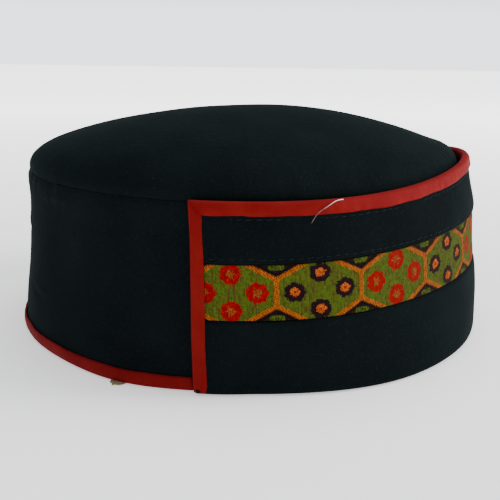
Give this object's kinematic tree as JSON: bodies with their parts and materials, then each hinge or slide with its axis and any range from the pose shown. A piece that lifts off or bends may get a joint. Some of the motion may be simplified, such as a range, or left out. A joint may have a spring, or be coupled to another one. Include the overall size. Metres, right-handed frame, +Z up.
{
  "type": "kullu cap",
  "caption": "Low round black wool cap with a domed crown, a turned-up front cuff with a woven flower band, and red bound edges.",
  "frame": {"origin": "centre of the cap's footprint, at the height of its lower edge", "axes": "+Z up out of the crown, -Y towards the front of the cap, +X to the wearer's left"},
  "size_m": [0.196, 0.1975, 0.0905],
  "materials": {
    "crown_wool": "matte",
    "wall_wool": "matte",
    "cuff_wool": "matte",
    "strip_wool": "matte",
    "woven_band": "matte",
    "cuff_binding_cloth": "matte",
    "hem_binding_cloth": "matte"
  },
  "bodies": {
    "root": {"crown_top": "crown_wool", "side_wall": "wall_wool", "front_cuff": "cuff_wool", "patterned_band": "woven_band", "upper_strip": "strip_wool", "cuff_binding": "cuff_binding_cloth", "hem_binding": "hem_binding_cloth"}
  },
  "joints": []
}
